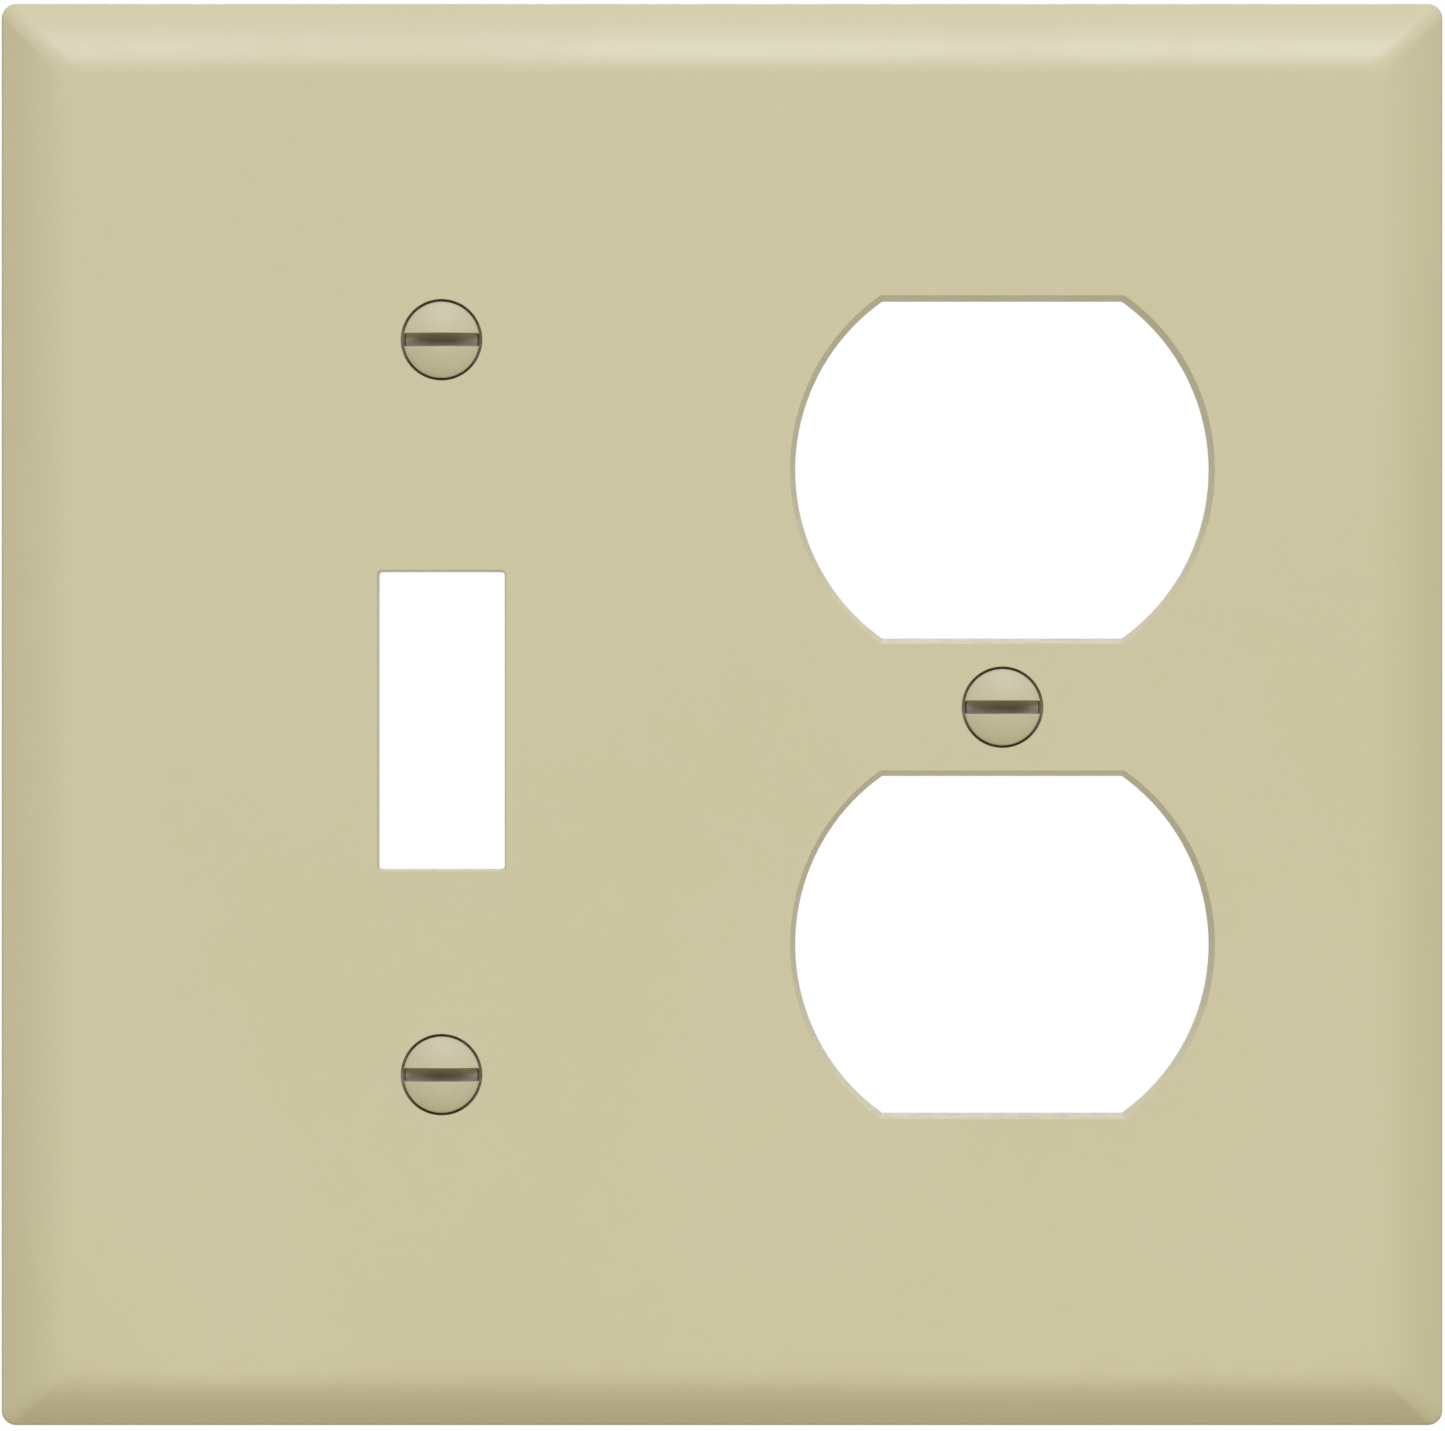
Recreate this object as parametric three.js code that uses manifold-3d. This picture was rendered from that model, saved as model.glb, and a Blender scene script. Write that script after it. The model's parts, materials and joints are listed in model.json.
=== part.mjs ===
// Two-gang combination wall plate: a toggle switch opening on the left and the two openings of a duplex
// receptacle on the right. Three 6-32 oval-head screws hold it, and a nylon washer keeps each screw in place.
//
// Millimetres. Everything is drawn in the plate's own frame: x to the right, y up, z out of the wall towards
// the room, with z = 0 on the wall. The exported group is turned so that up is +Z and the front faces -Y.
import * as THREE from 'three';
import { mergeVertices } from 'three/addons/utils/BufferGeometryUtils.js';
import Module from 'manifold-3d';

const wasm = await Module();
wasm.setup();

// ---------- driving dimensions ----------

const plate = {
  width: 118.6,
  height: 117.0,
  depth: 5.6, // wall to front face
  cornerRadius: 1.4, // of the outline
  crownWidth: 6.0, // from the outer edge to where the front face is flat
  slopeWidth: 2.3, // the straight outermost part of the crown
  slopeAngle: THREE.MathUtils.degToRad(35),
  wall: 2.0, // the rim that meets the wall
  ceiling: 3.4, // height of the hollow behind the front face
  hollowEdge: 2.0, // height of the hollow beside the rim
};

const gangSpacing = 46.04; // between the centre lines of two devices in one box
const toggleX = -gangSpacing / 2;
const receptacleX = gangSpacing / 2;
const deviceLine = 0.6; // height of the devices' centre line over the plate's own centre

const toggleOpening = { width: 10.3, height: 24.4, drop: 1.1, cornerRadius: 0.25, lip: 0.18 };
const receptacleOpening = { radius: 17.05, height: 27.7, spacing: 39.0, lip: 0.45 };
const toggleScrewSpacing = 60.325;

const boss = { radius: 4.9, rear: 1.6, root: 4.5 }; // rear and root are heights over the wall
const rib = {
  thickness: 1.2,
  rear: 1.9,
  root: 3.7,
  besideToggle: 13, // from the toggle's centre line to the upright on each side of it
  besideReceptacle: 2.6, // from the round openings to the upright on each side of them
  outerLevel: 44, // from the devices' centre line to the levels near the top and the bottom
  toggleLevel: 19, // from the same line to the two short levels beside the toggle opening
  bite: 0.5, // how far a rib's end runs into the rim
};

// A 6-32 slotted oval-head screw, half an inch long from the edge of its head to its tip.
const screw = {
  majorRadius: 1.75,
  minorRadius: 1.3,
  pitch: 0.79375,
  length: 12.7,
  tipChamfer: 0.45,
  neck: 0.7, // plain shank under the cone
  threadLap: 0.2, // how far the thread runs up into the plain shank
  threadAir: 0.1, // what the shank's trimming tool stands off the thread's crests
  headRadius: 3.12,
  headEdge: 0.06, // height of the plain band round the head
  headSunk: 0.1, // the head's edge lies this far below the plate's face
  dome: 0.95,
  coneAngle: THREE.MathUtils.degToRad(41), // half of the 82 degree countersink
  slotWidth: 1.0,
  slotDepth: 1.3, // from the top of the dome
};
const screwHole = { radius: 1.95, mouthRadius: 3.45 };

// A washer that grips the thread behind the plate, so that the screw can't fall out.
const retainer = { radius: 4.0, holeRadius: 2.05, thickness: 0.8, slitLength: 0.9, slitWidth: 0.35 };
const turnsToRetainer = 5.75; // turns that back the screw out until its washer meets the boss
const retainerPlay = 0.1; // what is left between washer and boss then

const margin = 1; // how far a cutting tool runs past what it cuts
const sharpestCorner = 0.5; // the least corner radius of an inner outline

// how many flat sides stand for each round
const sides = {
  corner: 5,
  opening: 16,
  bossHole: 40,
  crown: 6,
  head: 36,
  dome: 5,
  shank: 24,
  thread: 12,
  washer: 32,
};

// ---------- solids from three.js geometry ----------

function toSolid(geometry) {
  const bare = geometry.index ? geometry.toNonIndexed() : geometry.clone();
  for (const name of Object.keys(bare.attributes)) {
    if (name !== 'position') bare.deleteAttribute(name);
  }
  const merged = mergeVertices(bare, 1e-5);
  return new wasm.Manifold(new wasm.Mesh({
    numProp: 3,
    vertProperties: new Float32Array(merged.attributes.position.array),
    triVerts: new Uint32Array(merged.index.array),
  }));
}

function toGeometry(solid) {
  const { vertProperties, triVerts } = solid.getMesh();
  const geometry = new THREE.BufferGeometry();
  geometry.setAttribute('position', new THREE.BufferAttribute(vertProperties, 3));
  geometry.setIndex(new THREE.BufferAttribute(triVerts, 1));
  const faceted = geometry.toNonIndexed();
  faceted.computeVertexNormals();
  return faceted;
}

// A prism between two heights on an outline.
function prism(outline, low, high) {
  const settings = { depth: high - low, bevelEnabled: false, curveSegments: 1 };
  const geometry = new THREE.ExtrudeGeometry(outline, settings);
  geometry.translate(0, 0, low);
  return toSolid(geometry);
}

// A bar with a constant section: the section's x and y become the axes that u and v name.
function bar(section, length, u, v) {
  const geometry = new THREE.ExtrudeGeometry(section, { depth: length, bevelEnabled: false });
  geometry.translate(0, 0, -length / 2);
  const along = new THREE.Vector3().crossVectors(u, v);
  geometry.applyMatrix4(new THREE.Matrix4().makeBasis(u, v, along));
  return toSolid(geometry);
}

// A box given by its lowest and highest corners.
function block(low, high) {
  const size = high.map((value, axis) => value - low[axis]);
  const middle = high.map((value, axis) => (value + low[axis]) / 2);
  return toSolid(new THREE.BoxGeometry(...size).translate(...middle));
}

// A turned solid about the z axis. Its profile's points are (radius, height), from the lower end to the upper.
function turned(profile, segments) {
  const points = profile.map(([radius, height]) => new THREE.Vector2(radius, height));
  return toSolid(new THREE.LatheGeometry(points, segments).rotateX(Math.PI / 2));
}

function disc(radius, low, high, segments) {
  return turned([[0, low], [radius, low], [radius, high], [0, high]], segments);
}

// A solid between two outlines of equally many points at two heights.
function loft(lowOutline, low, highOutline, high) {
  const count = lowOutline.length;
  const positions = [];
  const place = (outline, height, index) => positions.push(outline[index].x, outline[index].y, height);
  for (const [a, b, c] of THREE.ShapeUtils.triangulateShape(lowOutline, [])) {
    for (const index of [c, b, a]) place(lowOutline, low, index);
    for (const index of [a, b, c]) place(highOutline, high, index);
  }
  for (let i = 0; i < count; i += 1) {
    const next = (i + 1) % count;
    place(lowOutline, low, i);
    place(lowOutline, low, next);
    place(highOutline, high, next);
    place(lowOutline, low, i);
    place(highOutline, high, next);
    place(highOutline, high, i);
  }
  const geometry = new THREE.BufferGeometry();
  geometry.setAttribute('position', new THREE.Float32BufferAttribute(positions, 3));
  return toSolid(geometry);
}

const joined = (solids) => solids.reduce((sum, solid) => sum.add(solid));

// ---------- outlines ----------

function roundedRectangle(width, height, radius) {
  const x = width / 2 - radius;
  const y = height / 2 - radius;
  const outline = new THREE.Path();
  outline.absarc(x, y, radius, 0, Math.PI / 2);
  outline.absarc(-x, y, radius, Math.PI / 2, Math.PI);
  outline.absarc(-x, -y, radius, Math.PI, 1.5 * Math.PI);
  outline.absarc(x, -y, radius, 1.5 * Math.PI, 2 * Math.PI);
  return outline.getPoints(sides.corner).slice(0, -1);
}

// A circle with its top and bottom cut off flat.
function flattedCircle(radius, height) {
  const half = Math.asin(height / 2 / radius);
  const outline = new THREE.Path();
  outline.absarc(0, 0, radius, -half, half);
  outline.absarc(0, 0, radius, Math.PI - half, Math.PI + half);
  return outline.getPoints(sides.opening);
}

// ---------- the moulding ----------

// The front face's height at a distance in from the outer edge: a straight slope, an arc, then flat.
function crownPoints() {
  const { depth, crownWidth, slopeWidth, slopeAngle } = plate;
  const arcRadius = (crownWidth - slopeWidth) / Math.sin(slopeAngle);
  const points = [];
  for (let step = 0; step <= sides.crown; step += 1) {
    const tilt = slopeAngle * (1 - step / sides.crown);
    points.push([crownWidth - arcRadius * Math.sin(tilt), depth - arcRadius * (1 - Math.cos(tilt))]);
  }
  const [[slopeEnd, slopeTop]] = points;
  return [[0, slopeTop - slopeEnd * Math.tan(slopeAngle)], ...points];
}

// The hollow's own height at a distance in from the outer edge, sloped beside the rim like the front.
const hollowPoints = [
  [plate.wall, plate.hollowEdge],
  [plate.wall + (plate.ceiling - plate.hollowEdge) / Math.tan(plate.slopeAngle), plate.ceiling],
];

// A slab whose four sides all have the same edge profile, so that its slopes meet in mitres.
function profiledSlab(edge, inset, bottom) {
  const section = (span) => {
    const half = span / 2;
    const right = edge.map(([distance, height]) => new THREE.Vector2(half - distance, height));
    const left = edge.map(([distance, height]) => new THREE.Vector2(distance - half, height)).reverse();
    const foot = half - inset;
    const base = [new THREE.Vector2(-foot, bottom), new THREE.Vector2(foot, bottom)];
    return new THREE.Shape([...base, ...right, ...left]);
  };
  const x = new THREE.Vector3(1, 0, 0);
  const y = new THREE.Vector3(0, 1, 0);
  const z = new THREE.Vector3(0, 0, 1);
  const { width, height, depth, cornerRadius } = plate;
  const outline = new THREE.Shape(
    roundedRectangle(width - 2 * inset, height - 2 * inset, Math.max(cornerRadius - inset, sharpestCorner)),
  );
  return bar(section(width), height + margin, x, z)
    .intersect(bar(section(height), width + margin, y, z))
    .intersect(prism(outline, bottom, depth + margin));
}

const screwPlaces = {
  upper_toggle: [toggleX, deviceLine + toggleScrewSpacing / 2],
  lower_toggle: [toggleX, deviceLine - toggleScrewSpacing / 2],
  receptacle: [receptacleX, deviceLine],
};

function stiffeningRibs() {
  const { thickness, rear, root, besideToggle, besideReceptacle, outerLevel, toggleLevel, bite } = rib;
  const reachX = plate.width / 2 - plate.wall + bite;
  const reachY = plate.height / 2 - plate.wall + bite;
  const upright = (x) => block([x - thickness / 2, -reachY, rear], [x + thickness / 2, reachY, root]);
  const level = (y, left, right) => block([left, y - thickness / 2, rear], [right, y + thickness / 2, root]);
  const [toggleLeft, toggleRight] = [toggleX - besideToggle, toggleX + besideToggle];
  const receptacleRib = receptacleOpening.radius + besideReceptacle;
  const [receptacleLeft, receptacleRight] = [receptacleX - receptacleRib, receptacleX + receptacleRib];
  return joined([
    ...[toggleLeft, toggleRight, receptacleLeft, receptacleRight].map(upright),
    level(deviceLine + outerLevel, -reachX, reachX),
    level(deviceLine - outerLevel, -reachX, reachX),
    level(deviceLine + toggleLevel, toggleLeft, toggleRight),
    level(deviceLine - toggleLevel, toggleLeft, toggleRight),
    level(deviceLine, -reachX, toggleLeft),
    level(deviceLine, receptacleRight, reachX),
  ]);
}

// An opening right through the front. Its walls lean back, so that the front is wider by lip on each side.
function openingTool(outlineFor, lip, x, y) {
  const { depth, ceiling } = plate;
  const shaft = prism(new THREE.Shape(outlineFor(0)), -margin, ceiling + margin);
  const lean = lip / (depth - ceiling);
  const flare = loft(outlineFor(0), ceiling, outlineFor(lip + lean * margin), depth + margin);
  return shaft.add(flare).translate([x, y, 0]);
}

function openings() {
  const { width, height, drop, cornerRadius } = toggleOpening;
  const toggle = (grow) => roundedRectangle(width + 2 * grow, height + 2 * grow, cornerRadius + grow);
  const { radius, height: flatToFlat, spacing, lip } = receptacleOpening;
  const receptacle = (grow) => flattedCircle(radius + grow, flatToFlat + 2 * grow);
  return joined([
    openingTool(toggle, toggleOpening.lip, toggleX, deviceLine - drop),
    openingTool(receptacle, lip, receptacleX, deviceLine + spacing / 2),
    openingTool(receptacle, lip, receptacleX, deviceLine - spacing / 2),
  ]);
}

// The clearance hole and countersink for one screw.
function screwHoleTool([x, y]) {
  const { radius, mouthRadius } = screwHole;
  const slope = Math.tan(screw.coneAngle);
  const coneFoot = plate.depth - (mouthRadius - radius) / slope;
  const profile = [
    [0, -margin],
    [radius, -margin],
    [radius, coneFoot],
    [mouthRadius + margin * slope, plate.depth + margin],
    [0, plate.depth + margin],
  ];
  return turned(profile, sides.bossHole).translate([x, y, 0]);
}

function wallPlate() {
  const shell = profiledSlab(crownPoints(), 0, 0).subtract(profiledSlab(hollowPoints, plate.wall, -margin));
  const places = Object.values(screwPlaces);
  const ringAt = ([x, y]) => disc(boss.radius, boss.rear, boss.root, sides.bossHole).translate([x, y, 0]);
  const bosses = joined(places.map(ringAt));
  const holes = joined(places.map(screwHoleTool));
  return shell.add(stiffeningRibs()).add(bosses).subtract(openings()).subtract(holes);
}

// ---------- screws and their washers, about their own axis with z = 0 at the edge of the head ----------

// A right-hand thread on its core. Each column of vertices starts a little higher than the last, so that the
// rows climb one pitch a turn and the last column joins the first one pitch up.
function threadedRod(bottom, top) {
  const { majorRadius, minorRadius, pitch } = screw;
  const profile = [[0, minorRadius], [0.42, majorRadius], [0.58, majorRadius]]; // share of a pitch, radius
  const columns = sides.thread;
  const lastColumn = columns - 1;
  const turns = Math.ceil((top - bottom) / pitch) + 1;
  const step = profile.length; // rows in one pitch
  const rows = turns * step;
  const positions = [];
  for (let column = 0; column < columns; column += 1) {
    const angle = (2 * Math.PI * column) / columns;
    for (let row = 0; row <= rows; row += 1) {
      const [share, radius] = profile[row % step];
      const turn = Math.floor(row / step) + share + column / columns;
      positions.push(radius * Math.cos(angle), radius * Math.sin(angle), bottom + (turn - 1) * pitch);
    }
  }
  const vertex = (column, row) => (column < columns ? column * (rows + 1) + row : row + step);
  const faces = [];
  for (let column = 0; column < columns; column += 1) {
    const rowsHere = column < lastColumn ? rows : rows - step;
    for (let row = 0; row < rowsHere; row += 1) {
      const [here, next] = [vertex(column, row), vertex(column + 1, row)];
      faces.push(here, next, next + 1, here, next + 1, here + 1);
    }
  }
  // each end is closed by a fan from a point on the axis, round the end's rim and its one step
  const count = (length) => Array.from({ length }, (_, index) => index);
  const lowRim = [
    ...count(step).map((row) => vertex(0, step - row)),
    ...count(columns).map((column) => vertex(column, 0)),
  ];
  const highRim = [
    ...count(step).map((row) => vertex(lastColumn, rows - step + row)),
    ...count(columns).map((column) => vertex(lastColumn - column, rows)),
  ];
  for (const [rim, height] of [[lowRim, bottom - pitch], [highRim, bottom + turns * pitch]]) {
    const apex = positions.length / 3;
    positions.push(0, 0, height);
    rim.forEach((here, index) => faces.push(apex, rim[(index + 1) % rim.length], here));
  }
  const geometry = new THREE.BufferGeometry();
  geometry.setAttribute('position', new THREE.Float32BufferAttribute(positions, 3));
  geometry.setIndex(faces);
  return toSolid(geometry);
}

function ovalHeadScrew() {
  const { majorRadius, minorRadius, length, tipChamfer, neck, threadLap, threadAir } = screw;
  const { headRadius, headEdge, dome, coneAngle, slotWidth, slotDepth } = screw;
  const coneFoot = -headEdge - (headRadius - majorRadius) / Math.tan(coneAngle);
  const domeRadius = (headRadius ** 2 + dome ** 2) / (2 * dome);
  const domeAngle = Math.asin(headRadius / domeRadius);
  const domePoints = Array.from({ length: sides.dome + 1 }, (_, step) => {
    const angle = domeAngle * (1 - step / sides.dome);
    return [domeRadius * Math.sin(angle), dome - domeRadius * (1 - Math.cos(angle))];
  });
  const head = turned([
    [0, coneFoot - neck],
    [minorRadius, coneFoot - neck],
    [majorRadius, coneFoot - neck + (majorRadius - minorRadius)],
    [majorRadius, coneFoot],
    [headRadius, -headEdge],
    ...domePoints,
  ], sides.head);
  const threadTop = coneFoot - neck + threadLap;
  const envelopeRadius = majorRadius + threadAir;
  const envelope = turned([
    [0, -length],
    [majorRadius - tipChamfer, -length],
    [envelopeRadius, threadAir + tipChamfer - length],
    [envelopeRadius, threadTop],
    [0, threadTop],
  ], sides.shank);
  const shank = threadedRod(-length, threadTop).intersect(envelope);
  const reach = headRadius + margin;
  const slot = block([-reach, -slotWidth / 2, dome - slotDepth], [reach, slotWidth / 2, dome + margin]);
  return head.add(shank).subtract(slot);
}

function retainingWasher() {
  const { radius, holeRadius, thickness, slitLength, slitWidth } = retainer;
  const hole = disc(holeRadius, -thickness - margin, margin, sides.shank);
  const ring = disc(radius, -thickness, 0, sides.washer).subtract(hole);
  const reach = holeRadius + slitLength;
  const slits = [0, 45, 90, 135].map((turn) => block(
    [-reach, -slitWidth / 2, -thickness - margin],
    [reach, slitWidth / 2, margin],
  ).rotate([0, 0, turn]));
  return ring.subtract(joined(slits));
}

// ---------- the assembly ----------

const finishes = {
  ivoryPlastic: new THREE.MeshStandardMaterial({ color: 0xcbc5a2, roughness: 0.42, metalness: 0 }),
  paintedSteel: new THREE.MeshStandardMaterial({ color: 0xbdb48c, roughness: 0.35, metalness: 0.2 }),
  clearNylon: new THREE.MeshStandardMaterial({ color: 0xe9e6dc, roughness: 0.5, metalness: 0 }),
};

function addMesh(group, name, solid, finish, x, y, z) {
  const mesh = new THREE.Mesh(toGeometry(solid), finish);
  mesh.name = name;
  mesh.position.set(x, y, z);
  group.add(mesh);
}

const wallPlateAssembly = new THREE.Group();
wallPlateAssembly.rotation.x = Math.PI / 2;

addMesh(wallPlateAssembly, 'wall_plate', wallPlate(), finishes.ivoryPlastic, 0, 0, 0);
const screwSolid = ovalHeadScrew();
const washerSolid = retainingWasher();
const headHeight = plate.depth - screw.headSunk;
const washerHeight = boss.rear - turnsToRetainer * screw.pitch - retainerPlay;
for (const [place, [x, y]] of Object.entries(screwPlaces)) {
  addMesh(wallPlateAssembly, `${place}_screw`, screwSolid, finishes.paintedSteel, x, y, headHeight);
  addMesh(wallPlateAssembly, `${place}_screw_retainer`, washerSolid, finishes.clearNylon, x, y, washerHeight);
}

export default wallPlateAssembly;
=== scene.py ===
"""Looks of a two-gang wall plate, its oval-head screws and the washers that keep the screws in it.

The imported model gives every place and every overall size. This script adds what a moulding and a painted
screw have beyond those: fillets, draft, lips round the openings, a true thread, grain, wear and dust.
"""

from __future__ import annotations

import json
import logging
import math
from collections.abc import Callable, Sequence
from dataclasses import dataclass
from enum import Enum
from functools import cached_property

import bmesh
import bpy
from bpy.types import ID, Material, Node, NodeSocket, NodeTree, Object
from mathutils import Matrix, Vector

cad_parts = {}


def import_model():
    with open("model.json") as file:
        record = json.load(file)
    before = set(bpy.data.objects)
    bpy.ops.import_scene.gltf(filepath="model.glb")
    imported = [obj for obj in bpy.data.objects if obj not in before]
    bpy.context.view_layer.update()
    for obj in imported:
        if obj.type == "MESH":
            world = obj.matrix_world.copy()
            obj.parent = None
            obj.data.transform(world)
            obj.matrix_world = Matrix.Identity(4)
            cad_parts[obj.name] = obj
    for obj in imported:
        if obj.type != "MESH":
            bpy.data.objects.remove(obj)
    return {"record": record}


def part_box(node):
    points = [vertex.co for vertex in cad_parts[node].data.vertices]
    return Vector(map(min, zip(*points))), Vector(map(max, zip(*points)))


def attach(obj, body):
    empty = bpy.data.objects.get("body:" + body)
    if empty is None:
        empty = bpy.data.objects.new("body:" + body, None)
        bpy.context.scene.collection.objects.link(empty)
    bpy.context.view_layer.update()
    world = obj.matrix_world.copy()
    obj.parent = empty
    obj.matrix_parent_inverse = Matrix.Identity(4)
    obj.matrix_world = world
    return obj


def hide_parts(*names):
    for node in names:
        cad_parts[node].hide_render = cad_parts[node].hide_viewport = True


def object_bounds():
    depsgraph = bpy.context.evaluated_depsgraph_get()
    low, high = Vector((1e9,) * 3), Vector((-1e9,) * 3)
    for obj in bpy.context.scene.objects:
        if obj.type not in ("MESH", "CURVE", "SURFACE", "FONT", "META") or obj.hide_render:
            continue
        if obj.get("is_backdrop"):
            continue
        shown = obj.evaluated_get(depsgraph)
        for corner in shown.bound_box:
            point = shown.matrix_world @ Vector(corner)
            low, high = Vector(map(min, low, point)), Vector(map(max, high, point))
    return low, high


MM = 0.001
MERGE = 1e-7  # points closer than this are one, in metres
INCH = 25.4 * MM
QUARTER, FULL = math.pi / 2, 2 * math.pi
FRONT = Matrix.Rotation(QUARTER, 4, "X")  # turns +Z, the outward axis a piece is made on, to the room

CONE_ANGLE = math.radians(41)  # of the screws' heads and their seats, from the axis
OWN_PLACE = "own"  # the attribute with each point's place on its piece's own axis

log = logging.getLogger("wall_plate")

Flat = tuple[float, float]
Rgb = tuple[float, float, float]


class Place(Enum):
    """Where a screw sits in the plate."""

    UPPER_TOGGLE = "upper_toggle"
    LOWER_TOGGLE = "lower_toggle"
    RECEPTACLE = "receptacle"


class Join(Enum):
    """How one solid acts on another."""

    ADD = "UNION"
    CUT = "DIFFERENCE"
    KEEP = "INTERSECT"


# ---------- profiles and outlines ----------


def filleted(corners: Sequence[tuple[float, float, float]], steps: int = 6) -> list[Flat]:
    """Round the inner corners of an open profile.

    Args:
        corners: Each corner's two coordinates and the radius it is rounded to, 0 for a sharp one.
        steps: Straight pieces in each fillet.

    Returns:
        The profile's points, in the corners' order.
    """
    points: list[Flat] = []
    for index, (across, height, radius) in enumerate(corners):
        if radius == 0:
            points.append((across, height))
            continue
        here = Vector((across, height))
        back = (Vector(corners[index - 1][:2]) - here).normalized()
        ahead = (Vector(corners[index + 1][:2]) - here).normalized()
        half = back.angle(ahead) / 2
        centre = here + (back + ahead).normalized() * radius / math.sin(half)
        start = here + back * radius / math.tan(half) - centre
        end = here + ahead * radius / math.tan(half) - centre
        turn = math.atan2(start.x * end.y - start.y * end.x, start.dot(end))
        for step in range(steps + 1):
            angle = turn * step / steps
            x = start.x * math.cos(angle) - start.y * math.sin(angle)
            y = start.x * math.sin(angle) + start.y * math.cos(angle)
            points.append((centre.x + x, centre.y + y))
    return points


def circle(radius: float, steps: int) -> list[Flat]:
    """Give a circle's outline about the origin, anticlockwise."""
    return arc(radius, 0, FULL, steps)[:-1]


def arc(radius: float, start: float, end: float, steps: int) -> list[Flat]:
    """Give the points of an arc about the origin.

    Args:
        radius: The arc's radius.
        start: The angle it starts at, in radians.
        end: The angle it ends at.
        steps: Straight pieces in it.

    Returns:
        The arc's points with both ends.
    """
    angles = [start + (end - start) * step / steps for step in range(steps + 1)]
    return [(radius * math.cos(angle), radius * math.sin(angle)) for angle in angles]


def rounded_rectangle(width: float, height: float, radius: float, steps: int = 8) -> list[Flat]:
    """Give a rectangle's outline with rounded corners, centred on the origin.

    Args:
        width: Its size across.
        height: Its size upwards.
        radius: The corners' radius.
        steps: Straight pieces in each corner.

    Returns:
        The outline's points, anticlockwise.
    """
    x, y = width / 2 - radius, height / 2 - radius
    outline: list[Flat] = []
    for quarter, (cx, cy) in enumerate(((x, y), (-x, y), (-x, -y), (x, -y))):
        start = quarter * QUARTER
        outline += [(cx + px, cy + py) for px, py in arc(radius, start, start + QUARTER, steps)]
    return outline


def flatted_circle(radius: float, height: float, steps: int = 40) -> list[Flat]:
    """Give a circle's outline with its top and bottom cut off flat.

    Args:
        radius: The circle's radius.
        height: From one flat to the other.
        steps: Straight pieces in each of the two arcs.

    Returns:
        The outline's points, anticlockwise.
    """
    half = math.asin(height / 2 / radius)
    return arc(radius, -half, half, steps) + arc(radius, math.pi - half, math.pi + half, steps)


# ---------- solids ----------


def new_piece(name: str, mesh: ID) -> Object:
    """Put a mesh, a lamp or a camera into the scene as an object at the origin.

    Args:
        name: The new object's name.
        mesh: Its data.

    Returns:
        The object.
    """
    piece = bpy.data.objects.new(name, mesh)
    bpy.context.scene.collection.objects.link(piece)
    return piece


def bake_stack(piece: Object) -> None:
    """Replace a piece's mesh with what its modifiers make of it.

    Args:
        piece: The piece.
    """
    bpy.context.view_layer.update()
    graph = bpy.context.evaluated_depsgraph_get()
    finished = bpy.data.meshes.new_from_object(piece.evaluated_get(graph))
    cage = piece.data
    piece.modifiers.clear()
    piece.data = finished
    bpy.data.meshes.remove(cage)


def remove_piece(piece: Object) -> None:
    """Take a helper and its mesh out of the file.

    Args:
        piece: The helper.
    """
    mesh = piece.data
    bpy.data.objects.remove(piece)
    bpy.data.meshes.remove(mesh)


def tidy_solid(piece: Object) -> None:
    """Weld a closed mesh's doubles, close what is open in it, and face it outwards.

    Args:
        piece: The solid.
    """
    work = bmesh.new()
    work.from_mesh(piece.data)
    bmesh.ops.remove_doubles(work, verts=work.verts, dist=MERGE)
    rims = [edge for edge in work.edges if edge.is_boundary]
    if rims:
        bmesh.ops.holes_fill(work, edges=rims, sides=0)
    bmesh.ops.recalc_face_normals(work, faces=work.faces)
    work.to_mesh(piece.data)
    work.free()


def open_edges(piece: Object) -> int:
    """Count the edges that don't have exactly two faces.

    Args:
        piece: The piece.

    Returns:
        How many there are.
    """
    work = bmesh.new()
    work.from_mesh(piece.data)
    count = sum(1 for edge in work.edges if len(edge.link_faces) != 2)
    work.free()
    return count


def loft(name: str, rings: Sequence[Sequence[Vector]]) -> Object:
    """Skin a closed solid over rings of equally many points.

    Args:
        name: The new object's name.
        rings: The rings from one end to the other. The first and the last are capped flat.

    Returns:
        The solid, with its faces outwards.
    """
    work = bmesh.new()
    rows = [[work.verts.new(point) for point in ring] for ring in rings]
    for low, high in zip(rows, rows[1:]):
        for index, here in enumerate(low):
            ahead = (index + 1) % len(low)
            work.faces.new((here, low[ahead], high[ahead], high[index]))
    work.faces.new(rows[0])
    work.faces.new(rows[-1])
    mesh = bpy.data.meshes.new(name)
    work.to_mesh(mesh)
    work.free()
    piece = new_piece(name, mesh)
    tidy_solid(piece)
    return piece


def turned(name: str, profile: Sequence[Flat], steps: int) -> Object:
    """Turn a solid about the Z axis.

    Args:
        name: The new object's name.
        profile: Radius and height of each point, from the top of the axis to its bottom.
        steps: Flat sides round the solid.

    Returns:
        The solid, on its own axis at the origin.
    """
    mesh = bpy.data.meshes.new(name)
    links = [(index, index + 1) for index in range(len(profile) - 1)]
    mesh.from_pydata([(radius, 0, height) for radius, height in profile], links, [])
    piece = new_piece(name, mesh)
    lathe = piece.modifiers.new("lathe", "SCREW")
    lathe.axis = "Z"
    lathe.steps = lathe.render_steps = steps
    lathe.use_merge_vertices = True
    lathe.merge_threshold = MERGE
    bake_stack(piece)
    tidy_solid(piece)
    return piece


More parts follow.
